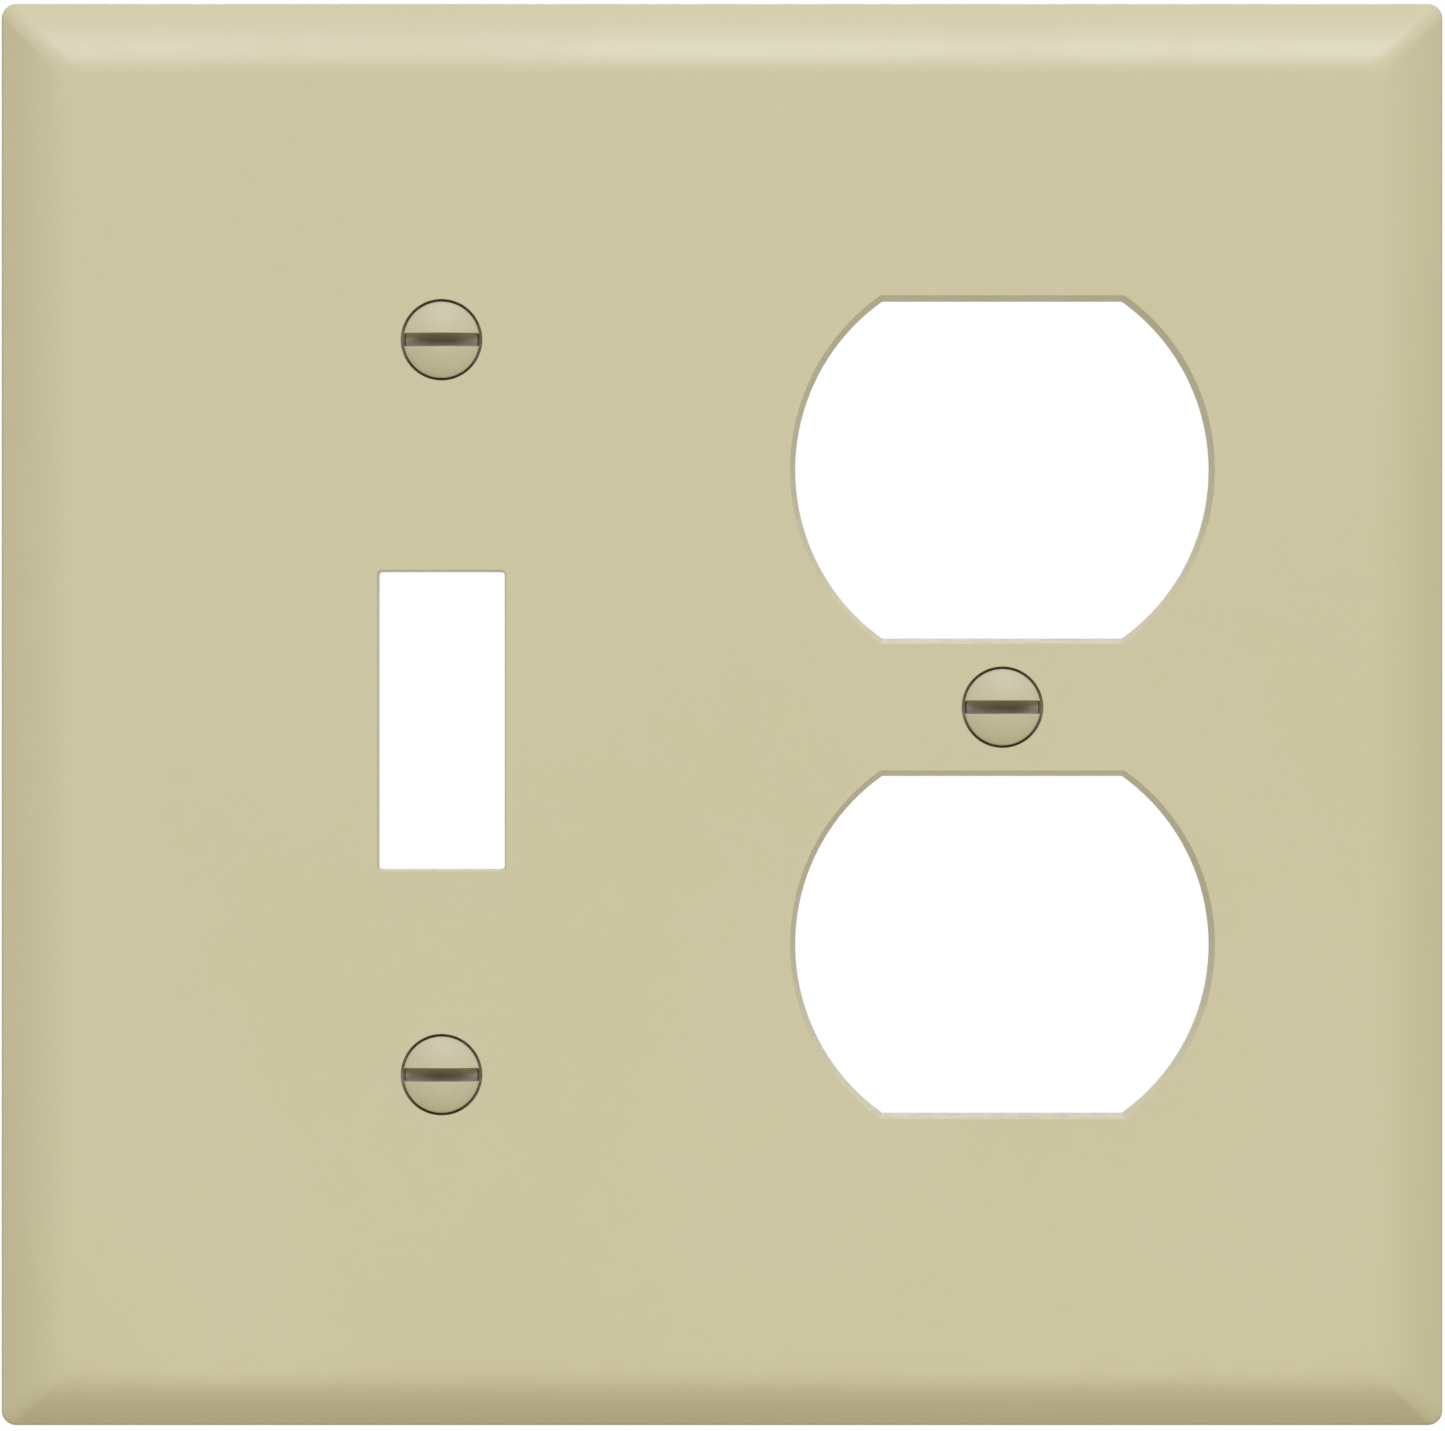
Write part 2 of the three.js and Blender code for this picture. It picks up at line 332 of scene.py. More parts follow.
def shape_with(piece: Object, tool: Object, how: Join) -> None:
    """Join a tool to a piece, cut it out of the piece, or keep what both share, and remove the tool.

    Args:
        piece: The piece that changes.
        tool: The helper solid, which is used up.
        how: What the tool does.
    """
    if piece.data.materials and not tool.data.materials:
        tool.data.materials.append(piece.data.materials[0])
    modifier = piece.modifiers.new("shape", "BOOLEAN")
    modifier.operation = how.value
    modifier.solver = "EXACT"
    modifier.material_mode = "TRANSFER"
    modifier.object = tool
    bake_stack(piece)
    remove_piece(tool)


def move(piece: Object, matrix: Matrix) -> None:
    """Move a piece's mesh and leave its object where it is."""
    piece.data.transform(matrix)
    piece.data.update()


def outward(x: float, z: float, height: float = 0.0) -> Matrix:
    """Give the placing of a piece made on the Z axis: at x and z on the wall, height out from the wall."""
    return Matrix.Translation((x, -height, z)) @ FRONT


def soften(piece: Object, crease: float) -> None:
    """Shade a piece smoothly, but for the edges that are creased more than an angle.

    Args:
        piece: The piece to shade.
        crease: The angle in radians.
    """
    mesh = piece.data
    mesh.polygons.foreach_set("use_smooth", [True] * len(mesh.polygons))
    mesh.set_sharp_from_angle(angle=crease)
    even = piece.modifiers.new("even_shading", "WEIGHTED_NORMAL")
    even.mode = "FACE_AREA"
    even.keep_sharp = True


def keep_own_coordinates(piece: Object) -> None:
    """Store where each point is on the piece's own axis, for patterns that follow each copy.

    Args:
        piece: The piece, still on its own axis.
    """
    own = piece.data.attributes.new(OWN_PLACE, "FLOAT_VECTOR", "POINT")
    for vertex, row in zip(piece.data.vertices, own.data):
        row.vector = vertex.co


# ---------- shader wiring ----------


Source = NodeSocket | float | tuple
Outputs = bpy.types.bpy_prop_collection


class Wiring:
    """Adds nodes to one tree and joins them up."""

    def __init__(self, tree: NodeTree) -> None:
        """Take the tree that the nodes go into."""
        self.tree = tree

    def node(
        self,
        kind: str,
        inputs: dict[str | int, Source] | None = None,
        **settings: object,
    ) -> Node:
        """Add one node.

        Args:
            kind: The node's type name.
            inputs: Values or sockets for its inputs, by name or place.
            settings: Properties to set on it.

        Returns:
            The new node.
        """
        made = self.tree.nodes.new(kind)
        for name, value in settings.items():
            setattr(made, name, value)
        for name, value in (inputs or {}).items():
            self.feed(made.inputs[name], value)
        return made

    def feed(self, socket: NodeSocket, value: Source) -> None:
        """Join a socket to another one, or set its own value.

        Args:
            socket: The input.
            value: The other socket or the value.
        """
        if isinstance(value, NodeSocket):
            self.tree.links.new(value, socket)
        elif isinstance(value, tuple) and len(value) == 3 and socket.type == "RGBA":
            socket.default_value = (*value, 1)
        else:
            socket.default_value = value

    def maths(self, operation: str, *values: Source, clamp: bool = False) -> NodeSocket:
        """Do one sum and give its result."""
        inputs = dict(enumerate(values))
        return self.node("ShaderNodeMath", inputs, operation=operation, use_clamp=clamp).outputs[0]

    def blend(self, share: Source, first: Source, second: Source) -> NodeSocket:
        """Mix two colours and give the result.

        Args:
            share: How much of the second colour.
            first: A colour.
            second: Another colour.

        Returns:
            The mixed colour.
        """
        made = self.node("ShaderNodeMix", data_type="RGBA")
        ends = [socket for socket in made.inputs if socket.type == "RGBA"]
        self.feed(made.inputs["Factor"], share)
        self.feed(ends[0], first)
        self.feed(ends[1], second)
        return next(socket for socket in made.outputs if socket.type == "RGBA")

    def ramp(
        self,
        value: Source,
        low: float,
        high: float,
        to_low: float = 0,
        to_high: float = 1,
    ) -> NodeSocket:
        """Map a value smoothly from one range to another and give the result."""
        inputs = {"Value": value, "From Min": low, "From Max": high, "To Min": to_low, "To Max": to_high}
        return self.node("ShaderNodeMapRange", inputs, interpolation_type="SMOOTHSTEP").outputs["Result"]

    def noise(
        self,
        place: Source,
        scale: Source,
        detail: float = 2.0,
        roughness: float = 0.5,
    ) -> NodeSocket:
        """Add a noise and give its value."""
        inputs = {"Vector": place, "Scale": scale, "Detail": detail, "Roughness": roughness}
        return self.node("ShaderNodeTexNoise", inputs).outputs["Fac"]

    def group(self, tree: NodeTree, inputs: dict[str | int, Source]) -> Node:
        """Place a node group with its own values.

        Args:
            tree: The group.
            inputs: Values or sockets for its inputs, by name.

        Returns:
            The group's node.
        """
        made = self.node("ShaderNodeGroup", node_tree=tree)
        for name, value in inputs.items():
            self.feed(made.inputs[name], value)
        return made

    def split(self, vector: Source) -> Outputs:
        """Give a vector's X, Y and Z outputs."""
        return self.node("ShaderNodeSeparateXYZ", {0: vector}).outputs


def new_group(name: str, inputs: Sequence[tuple[str, str]], outputs: Sequence[tuple[str, str]]) -> Wiring:
    """Start a shader node group.

    Args:
        name: The group's name.
        inputs: Name and socket type of each input.
        outputs: Name and socket type of each output.

    Returns:
        The wiring of the group's tree.
    """
    tree = bpy.data.node_groups.new(name, "ShaderNodeTree")
    for direction, sockets in (("INPUT", inputs), ("OUTPUT", outputs)):
        for label, kind in sockets:
            tree.interface.new_socket(label, in_out=direction, socket_type=kind)
    return Wiring(tree)


NUMBER, COLOUR, ARROW = "NodeSocketFloat", "NodeSocketColor", "NodeSocketVector"
CLOUD_FINENESS, CLOUD_SHARE = 9.0, 0.35  # the small clouds beside the slow drift
WIPE_STROKES = ((0.5, 14.0), (-0.35, 20.0))  # turn in radians, and how much longer than wide


class Effects:
    """The surface effects that more than one finish uses, each a node group built once."""

    @cached_property
    def grain(self) -> NodeTree:
        """Make a height from a fine grain and a slow swell.

        Returns:
            The group, whose heights are in metres.
        """
        sockets = [("Vector", ARROW)]
        sockets += [(name, NUMBER) for name in ("Fine Scale", "Fine Height", "Swell Scale", "Swell Height")]
        wires = new_group("surface_grain", sockets, [("Height", NUMBER)])
        given = wires.node("NodeGroupInput").outputs
        fine = wires.noise(given["Vector"], given["Fine Scale"], 3.0, 0.55)
        swell = wires.noise(given["Vector"], given["Swell Scale"], 1.0, 0.4)
        fine_height = wires.maths("MULTIPLY", fine, given["Fine Height"])
        height = wires.maths("MULTIPLY_ADD", swell, given["Swell Height"], fine_height)
        wires.node("NodeGroupOutput", {"Height": height})
        return wires.tree

    @cached_property
    def drift(self) -> NodeTree:
        """Make a colour that drifts slowly between two tones, with small clouds in it.

        Returns:
            The group.
        """
        sockets = [("Vector", ARROW), ("Colour", COLOUR), ("Other Colour", COLOUR), ("Scale", NUMBER)]
        wires = new_group("tone_drift", sockets, [("Colour", COLOUR), ("Mask", NUMBER)])
        given = wires.node("NodeGroupInput").outputs
        broad = wires.noise(given["Vector"], given["Scale"], 1.5, 0.5)
        small_scale = wires.maths("MULTIPLY", given["Scale"], CLOUD_FINENESS)
        small = wires.noise(given["Vector"], small_scale, 3.0, 0.6)
        both = wires.maths("MULTIPLY_ADD", small, CLOUD_SHARE, broad)
        mask = wires.ramp(both, 0.45, 0.9)
        colour = wires.blend(mask, given["Colour"], given["Other Colour"])
        wires.node("NodeGroupOutput", {"Colour": colour, "Mask": mask})
        return wires.tree

    @cached_property
    def dust(self) -> NodeTree:
        """Make a mask of fine dust that settles on faces turned upwards.

        Returns:
            The group.
        """
        sockets = [("Vector", ARROW), ("Scale", NUMBER), ("Amount", NUMBER)]
        wires = new_group("settled_dust", sockets, [("Mask", NUMBER)])
        given = wires.node("NodeGroupInput").outputs
        facing = wires.split(wires.node("ShaderNodeNewGeometry").outputs["Normal"])
        upward = wires.ramp(facing["Z"], 0.6, 0.97)
        patches = wires.ramp(wires.noise(given["Vector"], given["Scale"], 5.0, 0.65), 0.35, 0.7, 0.45, 0.8)
        settled = wires.maths("MULTIPLY", upward, patches)
        mask = wires.maths("MULTIPLY", settled, given["Amount"], clamp=True)
        wires.node("NodeGroupOutput", {"Mask": mask})
        return wires.tree

    @cached_property
    def wipe(self) -> NodeTree:
        """Make a mask of faint hairlines, as a cloth leaves them.

        Returns:
            The group.
        """
        wires = new_group("wipe_marks", [("Vector", ARROW), ("Scale", NUMBER)], [("Mask", NUMBER)])
        given = wires.node("NodeGroupInput").outputs
        masks = []
        for turn, stretch in WIPE_STROKES:
            inputs = {"Vector": given["Vector"], "Rotation": (0, turn, 0), "Scale": (1, 1, stretch)}
            placed = wires.node("ShaderNodeMapping", inputs).outputs[0]
            masks.append(wires.ramp(wires.noise(placed, given["Scale"]), 0.58, 0.72))
        wires.node("NodeGroupOutput", {"Mask": wires.maths("MAXIMUM", *masks)})
        return wires.tree


# ---------- finishes ----------


def new_material(name: str) -> tuple[Material, Wiring, Node]:
    """Start a material.

    Args:
        name: Its name.

    Returns:
        The material, the wiring of its tree, and its Principled shader.
    """
    material = bpy.data.materials.new(name)
    material.use_nodes = True
    tree = material.node_tree
    return material, Wiring(tree), tree.nodes["Principled BSDF"]


@dataclass(frozen=True)
class Tones:
    """Two colours that drift into each other, and how many drifts there are to a metre."""

    colour: Rgb
    other_colour: Rgb
    scale: float


@dataclass(frozen=True)
class Grain:
    """A fine grain on a slow swell: waves to the metre, and heights in metres."""

    fine_scale: float
    fine_height: float
    swell_scale: float
    swell_height: float


class Surface:
    """A material under construction."""

    def __init__(self, name: str, effects: Effects) -> None:
        """Start the material.

        Args:
            name: Its name.
            effects: The shared node groups.
        """
        self.effects = effects
        self.material, self.wires, self.shader = new_material(name)
        self.place = self.wires.node("ShaderNodeTexCoord").outputs["Object"]

    def feed(self, name: str, value: Source) -> None:
        """Set one of the shader's inputs."""
        self.wires.feed(self.shader.inputs[name], value)

    def effect(self, tree: NodeTree, **inputs: Source) -> Outputs:
        """Place a shared effect, its inputs named like variables, and give its outputs."""
        named = {name.replace("_", " ").title(): value for name, value in inputs.items()}
        return self.wires.group(tree, {"Vector": self.place, **named}).outputs

    def drift(self, tones: Tones) -> Outputs:
        """Place drifting tones and give their colour and mask."""
        return self.effect(self.effects.drift, **vars(tones))

    def grain(self, grain: Grain) -> NodeSocket:
        """Place a grain and give its height."""
        return self.effect(self.effects.grain, **vars(grain))["Height"]

    def emboss(self, height: Source) -> None:
        """Raise the shading by a height in metres."""
        bump = self.wires.node("ShaderNodeBump", {"Height": height, "Strength": 1.0, "Distance": 1.0})
        self.feed("Normal", bump.outputs["Normal"])


@dataclass(frozen=True)
class Finish:
    """A finish with drifting tones, a roughness that drifts with them, and a grain."""

    name: str
    tones: Tones
    grain: Grain
    roughness: float
    roughness_spread: float

    def make(self, effects: Effects) -> Material:
        """Build the material.

        Args:
            effects: The shared node groups.

        Returns:
            The material.
        """
        surface = Surface(self.name, effects)
        tone = surface.drift(self.tones)
        spread = (tone["Mask"], self.roughness_spread, self.roughness)
        self.dress(surface, tone["Colour"], surface.wires.maths("MULTIPLY_ADD", *spread))
        return surface.material

    def dress(self, surface: Surface, colour: NodeSocket, roughness: NodeSocket) -> None:
        """Give the surface its colour, roughness and relief.

        Args:
            surface: The material under construction.
            colour: The drifting colour.
            roughness: The drifting roughness.
        """
        surface.feed("Base Color", colour)
        surface.feed("Roughness", roughness)
        surface.emboss(surface.grain(self.grain))


@dataclass(frozen=True)
class MilkyFinish(Finish):
    """A finish that light goes into."""

    milkiness: float
    light_reach: Rgb

    def dress(self, surface: Surface, colour: NodeSocket, roughness: NodeSocket) -> None:
        """Add the milkiness.

        Args:
            surface: The material under construction.
            colour: The drifting colour.
            roughness: The drifting roughness.
        """
        super().dress(surface, colour, roughness)
        surface.feed("Subsurface Weight", self.milkiness)
        surface.feed("Subsurface Radius", self.light_reach)
        surface.feed("Subsurface Scale", 1.0)


@dataclass(frozen=True)
class IvoryPlastic(Finish):
    """The plate's moulded urea resin: a satin skin, even in colour, faintly clouded and finely grained."""

    wipe_scale: float = 150.0
    wipe_gloss: float = 0.03
    dust_colour: Rgb = (0.4, 0.385, 0.3)
    dust_scale: float = 900.0
    dust_amount: float = 0.85
    dust_roughness: float = 0.3

    def dress(self, surface: Surface, colour: NodeSocket, roughness: NodeSocket) -> None:
        """Add dust on what faces up, and the marks of a cloth.

        Args:
            surface: The material under construction.
            colour: The drifting colour.
            roughness: The drifting roughness.
        """
        wires, effects = surface.wires, surface.effects
        dust = surface.effect(effects.dust, scale=self.dust_scale, amount=self.dust_amount)["Mask"]
        wipes = surface.effect(effects.wipe, scale=self.wipe_scale)["Mask"]
        wiped = wires.maths("MULTIPLY_ADD", wipes, -self.wipe_gloss, roughness)
        dusty = wires.maths("MULTIPLY_ADD", dust, self.dust_roughness, wiped)
        super().dress(surface, wires.blend(dust, colour, self.dust_colour), dusty)


@dataclass(frozen=True)
class PaintedScrew(Finish):
    """Enamel on the head, zinc on the thread, with overspray between them."""

    zinc: Tones = Tones((0.62, 0.6, 0.54), (0.5, 0.46, 0.34), 500.0)
    # painted highlight: a lighter paint colour along the slot's edges
    rubbed: Rgb = (0.74, 0.7, 0.52)
    primer: Rgb = (0.3, 0.25, 0.16)
    gloss: float = 0.3
    metal: float = 0.95
    slot_half: float = 0.5 * MM
    rubbed_width: float = 0.16 * MM
    rubbed_polish: float = 0.2
    chip_scale: float = 3200.0
    chip_share: float = 0.25
    chip_depth: float = 8e-6
    chip_roughness: float = 0.4
    paint_ends: float = -1.9 * MM  # how far down the shank the overspray reaches
    overspray: float = 0.9 * MM
    ragged_scale: float = 1500.0
    raggedness: float = 1.2 * MM

    def dress(self, surface: Surface, colour: NodeSocket, roughness: NodeSocket) -> None:
        """Paint a highlight along the slot's edges, polish and chip the paint there, and let it end in
        overspray on the shank.

        Args:
            surface: The material under construction.
            colour: The enamel's drifting colour.
            roughness: The enamel's drifting roughness.
        """
        wires, place = surface.wires, surface.place
        own = wires.split(wires.node("ShaderNodeAttribute", attribute_name=OWN_PLACE).outputs["Vector"])
        # along the slot's edges the paint is polished and chipped, and painted lighter as a painted
        # highlight
        from_slot = wires.maths("ABSOLUTE", own["Y"])
        near_edge = wires.ramp(from_slot, self.slot_half + self.rubbed_width, self.slot_half)
        chips = wires.ramp(wires.noise(place, self.chip_scale, 4.0, 0.7), 0.56, 0.68)
        worn = wires.maths("MULTIPLY", wires.maths("MULTIPLY", near_edge, chips), self.chip_share)
        head = wires.blend(worn, wires.blend(near_edge, colour, self.rubbed), self.primer)
        wander = wires.noise(place, self.ragged_scale, 4.0, 0.7)
        ragged = wires.maths("MULTIPLY_ADD", wander, self.raggedness, own["Z"])
        bare = wires.ramp(ragged, self.paint_ends + self.overspray, self.paint_ends)
        surface.feed("Base Color", wires.blend(bare, head, surface.drift(self.zinc)["Colour"]))
        surface.feed("Metallic", wires.maths("MULTIPLY", bare, self.metal))
        polished = wires.maths("MULTIPLY_ADD", near_edge, -self.rubbed_polish, roughness)
        surface.feed("Roughness", wires.maths("MULTIPLY_ADD", worn, self.chip_roughness, polished))
        surface.feed("Specular IOR Level", self.gloss)
        surface.emboss(wires.maths("MULTIPLY_ADD", worn, -self.chip_depth, surface.grain(self.grain)))


IVORY = IvoryPlastic(
    "moulded_ivory",
    Tones((0.62, 0.585, 0.385), (0.605, 0.57, 0.368), 28.0),
    Grain(2600.0, 3.5e-6, 240.0, 12e-6),
    roughness=0.4,
    roughness_spread=0.07,
)
# painted shade: a dark plastic colour on the groove round each screw head, standing for the shade in the
# gap round the head
GROOVE_PAINTED_SHADE = Finish(
    "groove_painted_shade",
    Tones((0.2, 0.178, 0.11), (0.27, 0.243, 0.155), 600.0),
    Grain(5200.0, 4e-6, 1800.0, 9e-6),
    roughness=0.85,
    roughness_spread=-0.15,
)
PAINTED_SCREW = PaintedScrew(
    "enamelled_screw",
    Tones((0.573, 0.543, 0.37), (0.558, 0.528, 0.356), 420.0),
    Grain(5200.0, 1.5e-6, 1500.0, 7e-6),
    roughness=0.5,
    roughness_spread=0.06,
)
# the slot's floor and walls: rough dark steel, its colour darkened further as painted shade for the deep
# narrow slot
SLOT_STEEL_AND_SHADE = Finish(
    "slot_steel_and_shade",
    Tones((0.32, 0.29, 0.2), (0.275, 0.245, 0.17), 700.0),
    Grain(6000.0, 5e-6, 2000.0, 8e-6),
    roughness=0.7,
    roughness_spread=0.15,
)
# the washers' natural nylon
NYLON = MilkyFinish(
    "milky_nylon",
    Tones((0.8, 0.78, 0.7), (0.74, 0.7, 0.58), 260.0),
    Grain(4200.0, 2.5e-6, 900.0, 8e-6),
    roughness=0.4,
    roughness_spread=0.12,
    milkiness=0.25,
    light_reach=(0.6 * MM, 0.5 * MM, 0.35 * MM),
)


# ---------- the moulding ----------


@dataclass
class WallPlate:
    """The moulded plate: crowned front, hollow back with ribs and bosses, openings and screw holes."""

    low: Vector
    high: Vector
    finish: Material
    groove_finish: Material
    screws: dict[Place, Flat]
    toggle: Flat
    receptacles: list[Flat]
    margin: float = 1.0 * MM  # how far a cutter sticks out
    over: float = 0.004 * MM  # how far a cutter's lip passes the face it rounds
    corner_radius: float = 1.2 * MM
    crown_width: float = 6.0 * MM
    crown_power: float = 1.7  # how late the crown starts to level out, going inwards
    edge_tilt: float = math.radians(38.2)
    edge_land: float = 0.6 * MM
    edge_radius: float = 0.5 * MM
    crown_steps: int = 32
    wall: float = 2.0 * MM
    ceiling: float = 3.4 * MM
    hollow_edge: float = 2.0 * MM
    hollow_slope: float = 2.0 * MM
    hollow_corner: float = 0.8 * MM
    hollow_fillets: Flat = (0.7 * MM, 0.6 * MM)
    foot_radius: float = 0.18 * MM
    toggle_size: Flat = (10.3 * MM, 24.4 * MM)
    toggle_corner: float = 0.25 * MM
    toggle_draft: float = 0.1 * MM
    receptacle_radius: float = 17.0 * MM
    receptacle_height: float = 27.7 * MM
    receptacle_draft: float = 0.4 * MM
    lip_radius: float = 0.13 * MM
    hole_radius: float = 1.95 * MM
    hole_fillets: Flat = (0.05 * MM, 0.15 * MM)
    hole_chamfer: float = 0.25 * MM
    mouth_radius: float = 3.34 * MM
    groove_depth: float = 0.45 * MM
    clean_rim: float = 0.08 * MM  # how much of the groove's wall, at its mouth, stays out of the painted shade
    # how deep the painted shade reaches down the groove and the countersink
    dirt_depth: float = 1.3 * MM
    seat_radius: float = 3.3 * MM
    seat_depth: float = 0.35 * MM
    cone_angle: float = CONE_ANGLE
    boss_radius: float = 4.9 * MM
    boss_rear: float = 1.6 * MM
    boss_flare: float = 0.9 * MM
    boss_draft: float = 0.08 * MM
    boss_fillets: Flat = (0.5 * MM, 0.2 * MM)
    rib_half: float = 0.6 * MM
    rib_root: float = 0.65 * MM
    rib_wing: float = 1.2 * MM  # how far a rib's foot reaches into the ceiling beside it
    rib_sunk: float = 0.3 * MM
    rib_fillet: float = 0.35 * MM
    rib_crest: float = 0.25 * MM
    rib_rear: float = 1.9 * MM
    rib_beside_toggle: float = 13.0 * MM
    rib_beside_receptacle: float = 2.6 * MM
    rib_outer_level: float = 44.0 * MM
    rib_toggle_level: float = 19.0 * MM
    rib_bite: float = 0.5 * MM
    pin_radius: float = 2.0 * MM
    pin_depth: float = 0.12 * MM
    pin_out: float = 0.2 * MM
    pin_corner: Flat = (48.3 * MM, 39.8 * MM)
    pin_level: float = 22.4 * MM  # from the device line to the marks between a boss and its rib
    crease: float = math.radians(28)  # edges sharper than this stay sharp in the shading

    @property
    def width(self) -> float:
        """The plate's size across."""
        return self.high.x - self.low.x

    @property
    def height(self) -> float:
        """The plate's size upwards."""
        return self.high.z - self.low.z

    @property
    def depth(self) -> float:
        """From the wall to the front face."""
        return self.high.y - self.low.y

    @property
    def root(self) -> float:
        """The height of the ribs' and bosses' feet, just inside the ceiling."""
        return self.ceiling + 0.03 * MM

    @property
    def device_line(self) -> float:
        """The height of the devices' centre line."""
        return self.screws[Place.RECEPTACLE][1]

    def build(self) -> Object:
        """Make the plate.

        Returns:
            The finished plate in its place.
        """
        piece = self._shell()
        piece.data.materials.append(self.finish)
        for rib in self._ribs():
            shape_with(piece, rib, Join.ADD)
        for x, z in self.screws.values():
            shape_with(piece, self._boss(x, z), Join.ADD)
        for opening in self._openings():
            shape_with(piece, opening, Join.CUT)
        for x, z in self.screws.values():
            shape_with(piece, self._screw_hole(x, z), Join.CUT)
        for mark in self._pin_marks():
            shape_with(piece, mark, Join.CUT)
        piece.name = "moulded_plate"
        soften(piece, self.crease)
        log.info("plate: %d faces, %d open edges", len(piece.data.polygons), open_edges(piece))
        log.info("plate: finishes %s", [material.name for material in piece.data.materials])
        return piece

    def _tilt(self, inset: float) -> float:
        """Give the front's slope at an inset from the outer edge, in radians."""
        return self.edge_tilt * (1 - min(inset / self.crown_width, 1) ** self.crown_power)

    def _crown(self) -> list[Flat]:
        """Give inset and height along the crowned front, from the edge's land to the flat.

        Returns:
            The profile's points.
        """
        step = (self.crown_width - self.edge_land) / self.crown_steps
        points = [(self.crown_width, self.depth)]
        for _ in range(self.crown_steps):
            inset, height = points[-1]
            points.append((inset - step, height - step * math.tan(self._tilt(inset - step / 2))))
        return points[::-1]

    def _ring(self, inset: float, height: float, radius: float) -> list[Vector]:
        """Give one ring of the shell, at an inset from the outer edge and a height over the wall."""
        outline = rounded_rectangle(self.width - 2 * inset, self.height - 2 * inset, radius)
        return [Vector((x, -height, z)) for x, z in outline]

    def _shell(self) -> Object:
        """Make the bare shell: hollow, rim, side, slope and crowned front.

        Returns:
            The shell.
        """
        crown = self._crown()
        land_end, land_top = crown[0]
        edge_height = land_top - land_end * math.tan(self._tilt(land_end / 2))
        upper, lower = self.hollow_fillets
        inner = filleted([
            (self.wall + 2 * self.hollow_slope, self.ceiling, 0),
            (self.wall + self.hollow_slope, self.ceiling, upper),
            (self.wall, self.hollow_edge, lower),
            (self.wall, 0, self.foot_radius),
            (self.wall / 2, 0, 0),
        ])
        outer = filleted([
            (self.wall / 2, 0, 0),
            (0, 0, self.foot_radius),
            (0, edge_height, self.edge_radius),
            (land_end, land_top, 0),
        ])
        rings = [self._ring(*point, self.hollow_corner) for point in inner[:-1]]
        rings += [self._ring(*point, self.corner_radius) for point in outer[1:] + crown[1:]]
        return loft("shell", rings)

    def _rib(self, start: Flat, end: Flat) -> Object:
        """Make one rib with drafted sides, a rounded crest and fillets along its root.

        Args:
            start: Where it starts, as x and z on the wall.
            end: Where it ends.

        Returns:
            The rib.
        """
        half = filleted([
            (-self.rib_wing, self.root, 0),
            (-self.rib_root, self.root, self.rib_fillet),
            (-self.rib_half, self.rib_rear, self.rib_crest),
            (0, self.rib_rear, 0),
        ], 4)[:-1]
        half.insert(0, (-self.rib_wing, self.root + self.rib_sunk))
        section = half + [(-across, height) for across, height in reversed(half)]
        along = (Vector(end) - Vector(start)).normalized()
        across = Vector((-along.y, along.x))
        rings = []
        for x, z in (start, end):
            ring = [(x + across.x * side, -height, z + across.y * side) for side, height in section]
            rings.append([Vector(point) for point in ring])
        return loft("rib", rings)

    def _ribs(self) -> list[Object]:
        """Make all the ribs.

        Returns:
            The ribs, each a solid of its own.
        """
        line = self.device_line
        reach_x = self.width / 2 - self.wall + self.rib_bite
        reach_z = self.height / 2 - self.wall + self.rib_bite
        toggle_x, receptacle_x = self.toggle[0], self.receptacles[0][0]
        toggle_sides = (toggle_x - self.rib_beside_toggle, toggle_x + self.rib_beside_toggle)
        offset = self.receptacle_radius + self.rib_beside_receptacle
        receptacle_sides = (receptacle_x - offset, receptacle_x + offset)
        runs = [((x, -reach_z), (x, reach_z)) for x in (*toggle_sides, *receptacle_sides)]
        for sign in (-1, 1):
            level = line + sign * self.rib_outer_level
            runs.append(((-reach_x, level), (reach_x, level)))
            level = line + sign * self.rib_toggle_level
            runs.append(((toggle_sides[0], level), (toggle_sides[1], level)))
        runs.append(((-reach_x, line), (toggle_sides[0], line)))
        runs.append(((receptacle_sides[1], line), (reach_x, line)))
        return [self._rib(start, end) for start, end in runs]

    def _boss(self, x: float, z: float) -> Object:
        """Make the boss behind one screw hole.

        Args:
            x: Its place across.
            z: Its place upwards.

        Returns:
            The boss.
        """
        flare = self.boss_radius + self.boss_flare
        lower, upper = self.boss_fillets
        profile = filleted([
            (0, self.root + self.margin, 0),
            (flare, self.root + self.margin, 0),
            (flare, self.root, 0),
            (self.boss_radius, self.root, lower),
            (self.boss_radius - self.boss_draft, self.boss_rear, upper),
            (0, self.boss_rear, 0),
        ], 4)
        boss = turned("boss", profile, 64)
        move(boss, outward(x, z))
        return boss

    def _opening(self, outline: Callable[[float], list[Flat]], draft: float, place: Flat) -> Object:
        """Make the cutter of one opening: straight at the back, drafted in front, with a rounded lip.

        Args:
            outline: Gives the opening's outline for how much it has grown.
            draft: How much wider the opening is at the front, on each side.
            place: The opening's centre.

        Returns:
            The cutter.
        """
        path = filleted([
            (0, -self.margin, 0),
            (0, self.ceiling, 0),
            (draft, self.depth + self.over, self.lip_radius),
            (draft + self.margin, self.depth + 4 * self.over, 0),
            (draft + self.margin, self.depth + self.margin, 0),
        ], 5)
        x, z = place
        rings = [[Vector((x + px, -height, z + pz)) for px, pz in outline(grow)] for grow, height in path]
        return loft("opening", rings)

    def _openings(self) -> list[Object]:
        """Make the cutters of the toggle opening and the two receptacle openings.

        Returns:
            The cutters.
        """
        width, height = self.toggle_size

